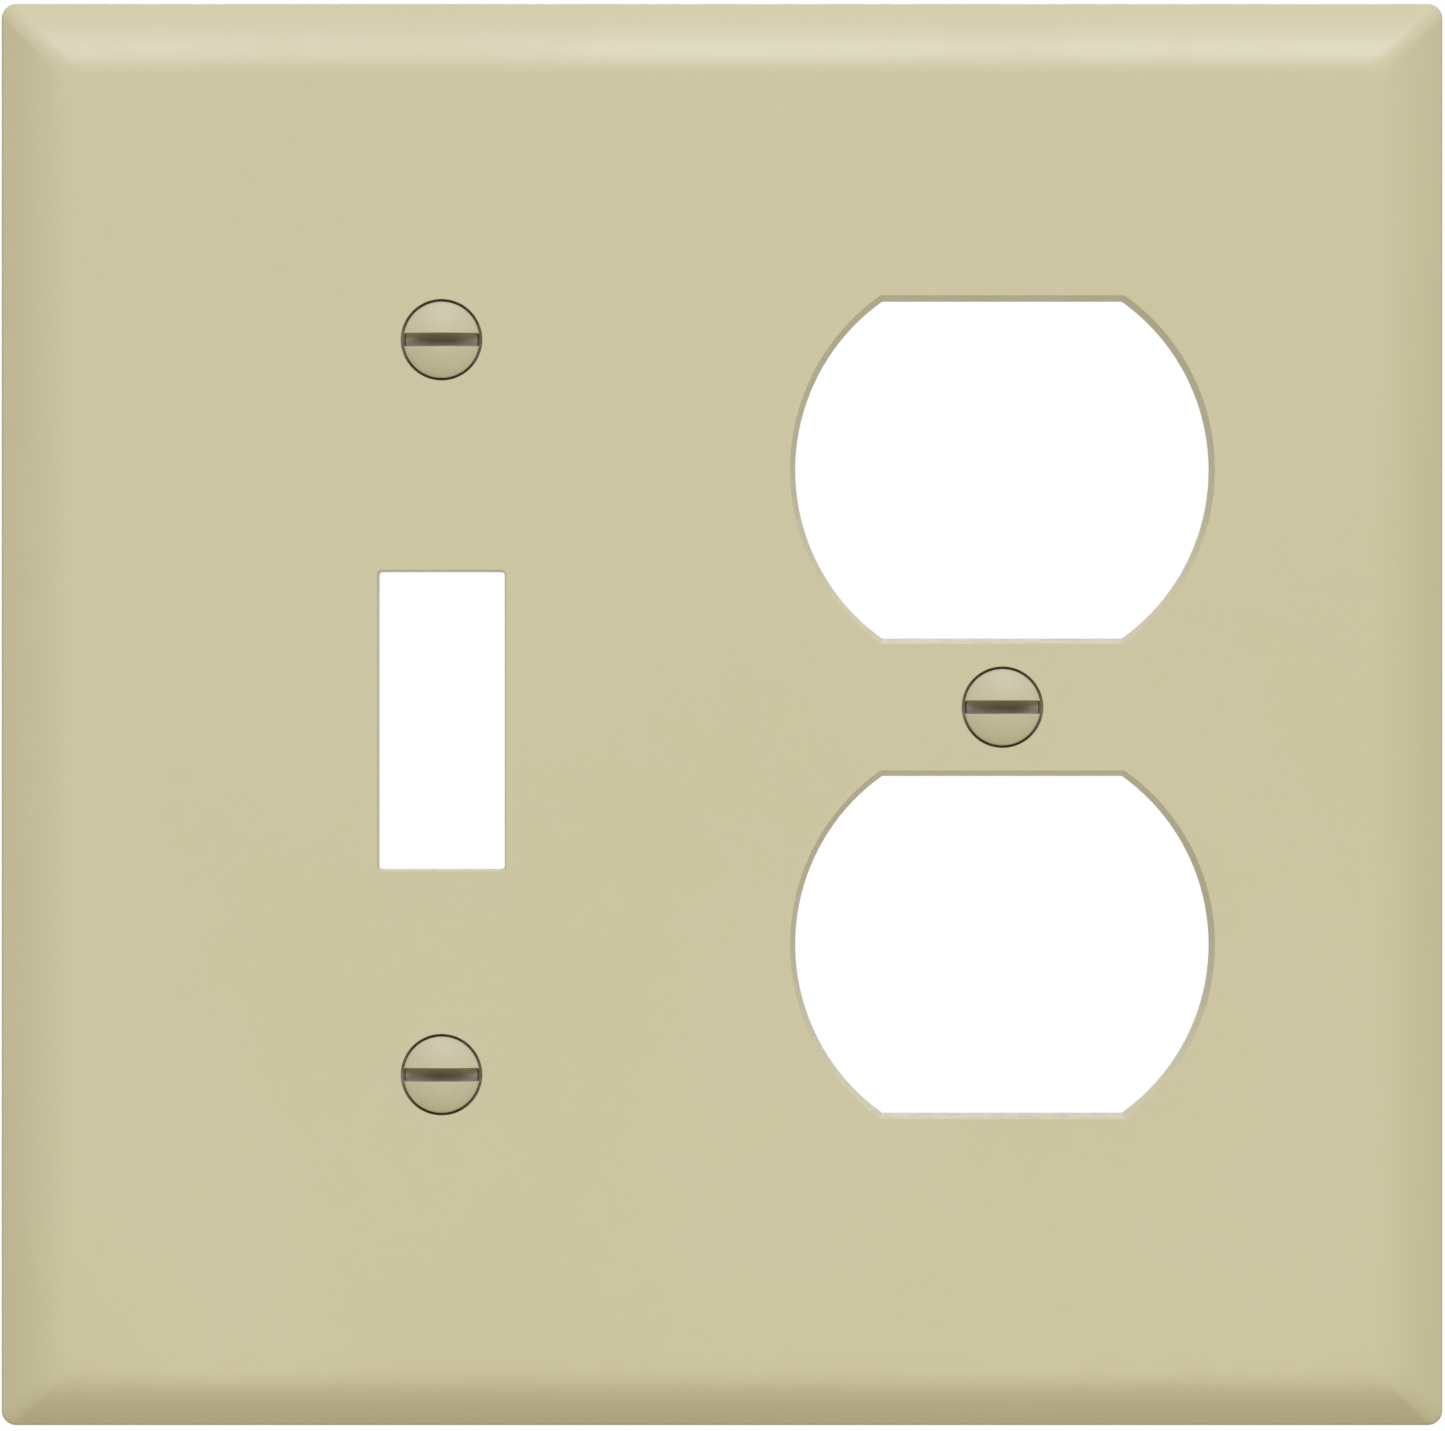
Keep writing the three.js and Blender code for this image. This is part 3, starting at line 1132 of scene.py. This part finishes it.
        def toggle(grow: float) -> list[Flat]:
            """Give the toggle opening's outline, grown on each side."""
            return rounded_rectangle(width + 2 * grow, height + 2 * grow, self.toggle_corner + grow)

        def receptacle(grow: float) -> list[Flat]:
            """Give a receptacle opening's outline, grown on each side."""
            return flatted_circle(self.receptacle_radius + grow, self.receptacle_height + 2 * grow)

        cutters = [self._opening(toggle, self.toggle_draft, self.toggle)]
        for place in self.receptacles:
            cutters.append(self._opening(receptacle, self.receptacle_draft, place))
        return cutters

    def _screw_hole(self, x: float, z: float) -> Object:
        """Make the cutter of one screw hole: a groove round the head, the countersink and the hole.

        Args:
            x: Its place across.
            z: Its place upwards.

        Returns:
            The cutter.
        """
        lean = math.tan(self.cone_angle)
        ledge = self.seat_radius - (self.groove_depth - self.seat_depth) * lean
        cone_foot = self.depth - self.seat_depth - (self.seat_radius - self.hole_radius) / lean
        rim, neck = self.hole_fillets
        outside = self.mouth_radius + self.margin
        wide = self.hole_radius + 2 * self.hole_chamfer
        profile = filleted([
            (0, self.depth + self.margin, 0),
            (outside, self.depth + self.margin, 0),
            (outside, self.depth + 4 * self.over, 0),
            (self.mouth_radius, self.depth + self.over, rim),
            (self.mouth_radius, self.depth - self.groove_depth, rim),
            (ledge, self.depth - self.groove_depth, 0),
            (self.hole_radius, cone_foot, neck),
            (self.hole_radius, self.boss_rear + self.hole_chamfer, 0),
            (wide, self.boss_rear - self.hole_chamfer, 0),
            (wide, -self.margin, 0),
            (0, -self.margin, 0),
        ], 3)
        hole = turned("hole", profile, 96)
        # the groove's wall and the countersink below its mouth take the dark groove finish: painted shade
        # for the gap round the head
        for finish in (self.finish, self.groove_finish):
            hole.data.materials.append(finish)
        for face in hole.data.polygons:
            if self.depth - self.dirt_depth < face.center.z < self.depth - self.clean_rim:
                face.material_index = 1
        move(hole, outward(x, z))
        return hole

    def _pin_marks(self) -> list[Object]:
        """Make the cutters of the shallow round marks that the mould's ejector pins leave on the back.

        Returns:
            The cutters.
        """
        x, z = self.pin_corner
        places = [(sx * x, sz * z) for sx in (-1, 1) for sz in (-1, 1)]
        places += [(self.toggle[0], self.device_line + sz * self.pin_level) for sz in (-1, 1)]
        top, foot = self.ceiling + self.pin_depth, self.ceiling - self.pin_out
        profile = filleted([
            (0, top, 0),
            (self.pin_radius, top, self.pin_depth / 2),
            (self.pin_radius, foot, 0),
            (0, foot, 0),
        ], 3)
        marks = []
        for place in places:
            marks.append(turned("pin_mark", profile, 40))
            move(marks[-1], outward(*place))
        return marks


# ---------- screws ----------


@dataclass
class OvalHeadScrew:
    """A 6-32 slotted oval-head screw, made on the Z axis with the edge of its head at height 0."""

    paint: Material
    slot_finish: Material
    head_radius: float = 3.14 * MM
    dome: float = 0.94 * MM
    band: float = 0.12 * MM
    rim: float = 0.2 * MM
    head_fillets: Flat = (0.02 * MM, 0.2 * MM)  # under the band and where the cone meets the neck
    cone_angle: float = CONE_ANGLE
    major_radius: float = 1.75 * MM
    minor_radius: float = 1.32 * MM
    pitch: float = INCH / 32
    length: float = INCH / 2
    neck: float = 0.7 * MM
    tip_chamfer: float = 0.45 * MM
    tip_bevel: float = 0.18 * MM  # of the core inside the thread
    ridge_halves: Flat = (0.34 * MM, 0.07 * MM)  # at the root and at the crest
    ridge_sunk: float = 0.12 * MM
    thread_start: float = 0.28 * MM  # from the cone's foot down
    trim_clear: float = 0.05 * MM
    trim_lift: float = 0.01 * MM
    slot_half: float = 0.5 * MM
    slot_floor: float = -0.35 * MM
    slot_lip: float = 0.12 * MM
    slot_fillet: float = 0.06 * MM
    slot_flare: float = 0.5 * MM
    slot_beyond: float = 0.4 * MM
    slot_above: float = 0.6 * MM
    slot_stations: int = 24
    dome_steps: int = 14
    head_steps: int = 96
    thread_steps: int = 32
    crease: float = math.radians(32)

    @property
    def dome_radius(self) -> float:
        """The radius of the sphere that the head's top is part of."""
        return (self.head_radius**2 + self.dome**2) / (2 * self.dome)

    @property
    def cone_foot(self) -> float:
        """The height where the cone meets the shank."""
        return -self.band - (self.head_radius - self.major_radius) / math.tan(self.cone_angle)

    def dome_height(self, radius: float) -> float:
        """Give the height of the head's top at a distance from the axis."""
        return self.dome - self.dome_radius + math.sqrt(max(self.dome_radius**2 - radius**2, 0))

    def build(self) -> Object:
        """Make the screw.

        Returns:
            The screw on its own axis.
        """
        piece = self._blank()
        piece.data.materials.append(self.paint)
        thread = self._thread()
        thread.data.materials.append(self.paint)
        shape_with(piece, thread, Join.ADD)
        slot = self._slot()
        # the slot's faces take the dark slot finish: dark steel with painted shade
        slot.data.materials.append(self.slot_finish)
        shape_with(piece, slot, Join.CUT)
        tidy_solid(piece)
        soften(piece, self.crease)
        bake_stack(piece)
        keep_own_coordinates(piece)
        log.info("screw: %d faces, %d open edges", len(piece.data.polygons), open_edges(piece))
        return piece

    def _blank(self) -> Object:
        """Turn the head and the bare core of the shank.

        Returns:
            The blank.
        """
        edge = math.asin(self.head_radius / self.dome_radius)
        angles = [edge * step / self.dome_steps for step in range(self.dome_steps)]
        bottom = self.dome - self.dome_radius
        top = [
            (self.dome_radius * math.sin(angle), self.dome_radius * math.cos(angle) + bottom)
            for angle in angles
        ]
        neck_end = self.cone_foot - self.neck
        band_fillet, neck_fillet = self.head_fillets
        below = filleted([
            (*top[-1], 0),
            (self.head_radius, 0, self.rim),
            (self.head_radius, -self.band, band_fillet),
            (self.major_radius, self.cone_foot, neck_fillet),
            (self.major_radius, neck_end, 0),
            (self.minor_radius, neck_end - (self.major_radius - self.minor_radius), 0),
            (self.minor_radius, self.tip_bevel - self.length, 0),
            (self.minor_radius - self.tip_bevel, -self.length, 0),
            (0, -self.length, 0),
        ], 4)
        return turned("blank", [*top, *below[1:]], self.head_steps)

    def _thread(self) -> Object:
        """Wind the thread's ridge and trim it at the tip and under the head.

        Returns:
            The ridge.
        """
        root, crest = self.ridge_halves
        sunk = self.minor_radius - self.ridge_sunk
        turns = math.ceil((self.length + self.cone_foot) / self.pitch) + 1
        bottom = -self.length - self.pitch / 2
        section = [(sunk, -root), (self.major_radius, -crest), (self.major_radius, crest), (sunk, root)]
        mesh = bpy.data.meshes.new("thread")
        points = [(radius, 0, bottom + height) for radius, height in section]
        mesh.from_pydata(points, [(0, 1), (1, 2), (2, 3), (3, 0)], [])
        ridge = new_piece("thread", mesh)
        wind = ridge.modifiers.new("wind", "SCREW")
        wind.axis = "Z"
        wind.steps = wind.render_steps = self.thread_steps
        wind.screw_offset = self.pitch
        wind.iterations = turns
        bake_stack(ridge)
        tidy_solid(ridge)
        clear_radius = self.major_radius + self.trim_clear
        head_end = self.cone_foot - self.thread_start
        tip = self.trim_lift - self.length
        trim = turned("trim", [
            (0, head_end),
            (self.minor_radius, head_end),
            (clear_radius, head_end - (clear_radius - self.minor_radius)),
            (clear_radius, self.tip_chamfer - self.length),
            (self.minor_radius - 2 * self.trim_clear, tip),
            (0, tip),
        ], 48)
        shape_with(ridge, trim, Join.KEEP)
        return ridge

    def _slot(self) -> Object:
        """Make the slot's cutter, whose mouth is flared so that the slot's edges follow the dome, rounded.

        Returns:
            The cutter.
        """
        rings = []
        reach = self.head_radius + self.slot_beyond
        flare = self.slot_half + self.slot_flare
        for station in range(self.slot_stations + 1):
            x = reach * (2 * station / self.slot_stations - 1)
            edge = self.dome_height(min(math.hypot(x, self.slot_half), self.head_radius))
            side = filleted([
                (0, self.slot_floor, 0),
                (self.slot_half, self.slot_floor, self.slot_fillet),
                (self.slot_half, edge, self.slot_lip),
                (flare, edge + self.trim_lift, 0),
                (flare, edge + self.slot_above, 0),
            ], 4)[1:]
            section = side + [(-across, height) for across, height in reversed(side)]
            rings.append([Vector((x, across, height)) for across, height in section])
        return loft("slot", rings)


# ---------- washers ----------


@dataclass
class RetainingWasher:
    """A slit nylon ring that grips a screw's thread, made on the Z axis with its front face at height 0."""

    finish: Material
    radius: float = 4.0 * MM
    hole_radius: float = 1.8 * MM
    thickness: float = 0.8 * MM
    slit_reach: float = 2.95 * MM
    slit_half: float = 0.16 * MM
    tabs: int = 8
    edge_width: float = 0.06 * MM
    crease: float = math.radians(40)

    def _inner_outline(self) -> list[Flat]:
        """Give the hole's outline with a slit between each two tabs.

        Returns:
            The outline's points, anticlockwise.
        """
        outline: list[Flat] = []
        step = FULL / self.tabs
        for tab in range(self.tabs):
            spread = math.asin(self.slit_half / self.hole_radius)
            root = math.asin(self.slit_half / self.slit_reach)
            outline += arc(self.hole_radius, tab * step + spread, (tab + 1) * step - spread, 5)
            outline += arc(self.slit_reach, (tab + 1) * step - root, (tab + 1) * step + root, 1)
        return outline

    def build(self) -> Object:
        """Make the washer.

        Returns:
            The washer on its own axis.
        """
        work = bmesh.new()
        edges = []
        for outline in (circle(self.radius, 64), self._inner_outline()):
            loop = [work.verts.new((x, y, 0)) for x, y in outline]
            edges += [work.edges.new(pair) for pair in zip(loop, loop[1:] + loop[:1])]
        bmesh.ops.triangle_fill(work, use_beauty=True, edges=edges, normal=(0, 0, 1))
        mesh = bpy.data.meshes.new("washer")
        work.to_mesh(mesh)
        work.free()
        piece = new_piece("washer", mesh)
        wall = piece.modifiers.new("wall", "SOLIDIFY")
        wall.thickness = self.thickness
        wall.offset = -1
        wall.use_even_offset = True
        edge = piece.modifiers.new("edge", "BEVEL")
        edge.width = self.edge_width
        edge.segments = 2
        edge.limit_method = "ANGLE"
        edge.angle_limit = self.crease
        piece.data.materials.append(self.finish)
        bake_stack(piece)
        tidy_solid(piece)
        soften(piece, self.crease)
        bake_stack(piece)
        log.info("washer: %d faces, %d open edges", len(piece.data.polygons), open_edges(piece))
        return piece


# ---------- the studio ----------


CLIP = (0.05, 20.0)
WHITE = (1.0, 1.0, 1.0)
SIDE_GLOW = (1.0, 0.75, 0.3)


@dataclass
class SoftBox:
    """A square soft light that looks at the object."""

    name: str
    azimuth: float
    elevation: float
    distance: float
    size: float
    power: float
    colour: Rgb

    def build(self) -> Object:
        """Hang the light.

        Returns:
            The light.
        """
        lamp = bpy.data.lights.new(self.name, "AREA")
        lamp.shape = "SQUARE"
        lamp.size = self.size
        lamp.energy = self.power
        lamp.color = self.colour
        light = new_piece(self.name, lamp)
        azimuth, elevation = math.radians(self.azimuth), math.radians(self.elevation)
        towards = Vector((
            math.sin(azimuth) * math.cos(elevation),
            -math.cos(azimuth) * math.cos(elevation),
            math.sin(elevation),
        ))
        light.location = towards * self.distance
        light.rotation_euler = towards.to_track_quat("Z", "Y").to_euler()
        light.visible_camera = False
        return light


@dataclass
class Studio:
    """Camera, sky, lights and floor."""

    low: Vector
    high: Vector
    lens: float = 300.0
    sensor: float = 36.0
    span: float = 118.93 * MM  # how much the frame takes in at the outline's own distance
    outline_height: float = 2.8 * MM
    aim: Flat = (0.04 * MM, -0.08 * MM)
    above: Rgb = (0.635, 0.566, 0.518)
    level: Rgb = (0.2, 0.2, 0.2)
    below: Rgb = (0.2, 0.2, 0.19)
    behind: Rgb = (0.95, 0.935, 0.89)
    floor_drop: float = 42.0 * MM
    floor_radius: float = 0.6
    floor_colour: Rgb = (0.9, 0.9, 0.89)
    floor_roughness: float = 0.8

    def build(self) -> None:
        """Set up everything that isn't part of the object."""
        self._camera()
        self._sky()
        for box in (
            SoftBox("key", 3, 42, 2.8, 1.575, 53.6, (0.725, 0.794, 0.99)),
            SoftBox("bounce", 3, -35, 2.8, 1.575, 30.3, (1.0, 0.905, 0.615)),
            SoftBox("left_card", -75, 10, 2.8, 1.575, 6.0, SIDE_GLOW),
            SoftBox("right_card", 75, 10, 2.8, 1.575, 6.4, SIDE_GLOW),
            SoftBox("rear", 180, 50, 1.6, 0.9, 7.0, WHITE),
        ):
            box.build()
        self._floor()
        view = bpy.context.scene.view_settings
        view.view_transform = "Standard"
        view.look = "None"

    def _camera(self) -> None:
        """Place the camera square in front of the plate."""
        camera = bpy.data.cameras.new("camera")
        camera.lens = self.lens
        camera.sensor_width = self.sensor
        camera.clip_start, camera.clip_end = CLIP
        stand = new_piece("camera", camera)
        distance = self.span * self.lens / self.sensor
        stand.location = (self.aim[0], -self.outline_height - distance, self.aim[1])
        stand.rotation_euler = (QUARTER, 0, 0)
        bpy.context.scene.camera = stand

    def _sky(self) -> None:
        """Make a white backdrop for the camera and a soft gradient for everything else."""
        world = bpy.data.worlds.new("studio")
        world.use_nodes = True
        bpy.context.scene.world = world
        world.node_tree.nodes.clear()
        wires = Wiring(world.node_tree)
        parts = wires.split(wires.node("ShaderNodeTexCoord").outputs["Generated"])
        lower = wires.blend(wires.ramp(parts["Z"], -0.7, 0.0), self.below, self.level)
        front = wires.blend(wires.ramp(parts["Z"], 0.0, 0.8), lower, self.above)
        glow = wires.blend(wires.ramp(parts["Y"], 0.35, 0.75), front, self.behind)
        seen = wires.node("ShaderNodeLightPath").outputs["Is Camera Ray"]
        colour = wires.blend(seen, glow, WHITE)
        shine = wires.node("ShaderNodeBackground", {"Color": colour, "Strength": 1.0})
        wires.node("ShaderNodeOutputWorld", {"Surface": shine.outputs[0]})

    def _floor(self) -> None:
        """Lay a pale round floor some way under the object, open when seen from below."""
        mesh = bpy.data.meshes.new("floor")
        height = self.low.z - self.floor_drop
        rim = [(x, y, height) for x, y in circle(self.floor_radius, 96)]
        mesh.from_pydata(rim, [], [list(range(len(rim)))])
        floor = new_piece("floor", mesh)
        material, wires, shader = new_material("pale_floor")
        wires.feed(shader.inputs["Base Color"], self.floor_colour)
        wires.feed(shader.inputs["Roughness"], self.floor_roughness)
        clear = wires.node("ShaderNodeBsdfTransparent")
        side = wires.node("ShaderNodeNewGeometry").outputs["Backfacing"]
        both = wires.node("ShaderNodeMixShader", {0: side, 1: shader.outputs[0], 2: clear.outputs[0]})
        wires.feed(wires.tree.nodes["Material Output"].inputs["Surface"], both.outputs[0])
        mesh.materials.append(material)
        floor.visible_diffuse = False
        floor.visible_glossy = False
        floor.visible_shadow = False
        floor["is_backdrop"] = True


# ---------- putting it together ----------


def centre_of(box: tuple[Vector, Vector]) -> Flat:
    """Give a box's centre on the wall, as x and z."""
    low, high = box
    return (low.x + high.x) / 2, (low.z + high.z) / 2


def opening_places(record: dict) -> dict[str, Flat]:
    """Give each stated opening's centre on the wall, by name.

    Args:
        record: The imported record.

    Returns:
        Each centre as x and z.
    """
    places = {}
    for opening in record["physics"]["openings"]:
        low, high = (Vector(corner) for corner in opening["box_m"])
        places[opening["name"]] = centre_of((low, high))
    return places


def main() -> None:
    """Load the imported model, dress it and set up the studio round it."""
    logging.basicConfig(level=logging.INFO, format="%(name)s: %(message)s")
    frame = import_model()
    model_low, model_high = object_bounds()
    effects = Effects()
    screws = {place: centre_of(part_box(f"{place.value}_screw")) for place in Place}
    openings = opening_places(frame["record"])

    plate = WallPlate(
        *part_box("wall_plate"),
        IVORY.make(effects),
        GROOVE_PAINTED_SHADE.make(effects),
        screws=screws,
        toggle=openings["toggle_opening"],
        receptacles=[openings["upper_receptacle_opening"], openings["lower_receptacle_opening"]],
    ).build()
    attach(plate, "plate")
    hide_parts("wall_plate")

    screw_maker = OvalHeadScrew(PAINTED_SCREW.make(effects), SLOT_STEEL_AND_SHADE.make(effects))
    master_screw = screw_maker.build()
    master_washer = RetainingWasher(NYLON.make(effects)).build()
    for place, (x, z) in screws.items():
        _, screw_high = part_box(f"{place.value}_screw")
        screw = new_piece(f"{place.value}_oval_head_screw", master_screw.data.copy())
        move(screw, outward(x, z, screw_maker.length - screw_high.y))
        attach(screw, f"{place.value}_screw")
        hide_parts(f"{place.value}_screw")
        washer_low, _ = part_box(f"{place.value}_screw_retainer")
        washer = new_piece(f"{place.value}_nylon_washer", master_washer.data.copy())
        move(washer, outward(x, z, -washer_low.y))
        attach(washer, f"{place.value}_retainer")
        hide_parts(f"{place.value}_screw_retainer")
        log.info("%s: screw and washer placed at %.2f, %.2f mm", place.value, x / MM, z / MM)
    remove_piece(master_screw)
    remove_piece(master_washer)

    Studio(model_low, model_high).build()
    bpy.context.view_layer.update()


if __name__ == "__main__":
    main()
